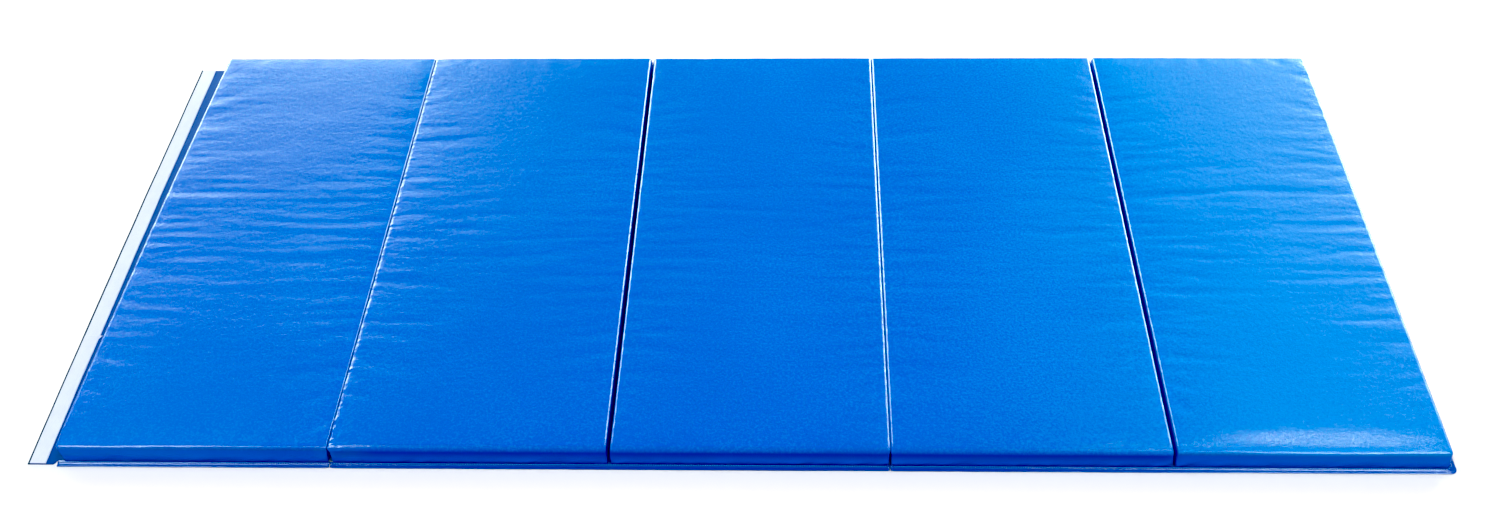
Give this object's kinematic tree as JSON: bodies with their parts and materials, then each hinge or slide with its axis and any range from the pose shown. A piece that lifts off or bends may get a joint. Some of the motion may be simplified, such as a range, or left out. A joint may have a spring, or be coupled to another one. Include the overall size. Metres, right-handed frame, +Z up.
{
  "type": "folding gym mat",
  "caption": "Long padded floor mat of foam panels in glossy vinyl that folds up zig-zag into a stack, with a hook-and-loop flap on one end for joining another mat.",
  "frame": {"origin": "middle of the underside of the middle panel, on the floor", "axes": "+X along the mat, away from the flap end; +Y across the panels, from the front to the rear; +Z up out of the top face"},
  "size_m": [3.148, 1.554, 0.0508],
  "materials": {
    "blue_vinyl": "gloss",
    "foam": "matte",
    "white_strip": "matte"
  },
  "bodies": {
    "panel_1": {"foam_core_1": "foam", "top_cover_1": "blue_vinyl", "bottom_cover_1": "blue_vinyl", "front_hem_1": "blue_vinyl", "rear_hem_1": "blue_vinyl", "web_1_2_left": "blue_vinyl"},
    "panel_2": {"foam_core_2": "foam", "top_cover_2": "blue_vinyl", "bottom_cover_2": "blue_vinyl", "front_hem_2": "blue_vinyl", "rear_hem_2": "blue_vinyl", "web_1_2_right": "blue_vinyl", "web_2_3_left": "blue_vinyl"},
    "panel_3": {"foam_core_3": "foam", "top_cover_3": "blue_vinyl", "bottom_cover_3": "blue_vinyl", "front_hem_3": "blue_vinyl", "rear_hem_3": "blue_vinyl", "web_2_3_right": "blue_vinyl", "web_3_4_left": "blue_vinyl"},
    "panel_4": {"foam_core_4": "foam", "top_cover_4": "blue_vinyl", "bottom_cover_4": "blue_vinyl", "front_hem_4": "blue_vinyl", "rear_hem_4": "blue_vinyl", "web_3_4_right": "blue_vinyl", "web_4_5_left": "blue_vinyl"},
    "panel_5": {"foam_core_5": "foam", "top_cover_5": "blue_vinyl", "bottom_cover_5": "blue_vinyl", "front_hem_5": "blue_vinyl", "rear_hem_5": "blue_vinyl", "web_4_5_right": "blue_vinyl", "right_hem": "blue_vinyl", "underside_strip": "white_strip"},
    "end_flap": {"flap_sheet": "blue_vinyl", "flap_strip_front": "white_strip", "flap_strip_rear": "white_strip"}
  },
  "joints": [
    {"name": "fold_1_2", "type": "hinge", "parent": "panel_1", "child": "panel_2", "pos_m": [-0.9276, 0, 0.05155], "axis": [0, -1, 0], "range_deg": [0, 180]},
    {"name": "fold_2_3", "type": "hinge", "parent": "panel_2", "child": "panel_3", "pos_m": [-0.3092, 0, -0.00075], "axis": [0, 1, 0], "range_deg": [0, 180]},
    {"name": "fold_3_4", "type": "hinge", "parent": "panel_3", "child": "panel_4", "pos_m": [0.3092, 0, 0.05155], "axis": [0, -1, 0], "range_deg": [0, 180]},
    {"name": "fold_4_5", "type": "hinge", "parent": "panel_4", "child": "panel_5", "pos_m": [0.9276, 0, -0.00075], "axis": [0, 1, 0], "range_deg": [0, 180]},
    {"name": "flap_hinge", "type": "hinge", "parent": "panel_1", "child": "end_flap", "pos_m": [-1.5243, 0, 0.0032], "axis": [0, 1, 0], "range_deg": [0, 60]}
  ],
  "couplings": [
    {"joint": "fold_2_3", "follows": "fold_1_2", "ratio": 1},
    {"joint": "fold_4_5", "follows": "fold_3_4", "ratio": 1}
  ]
}
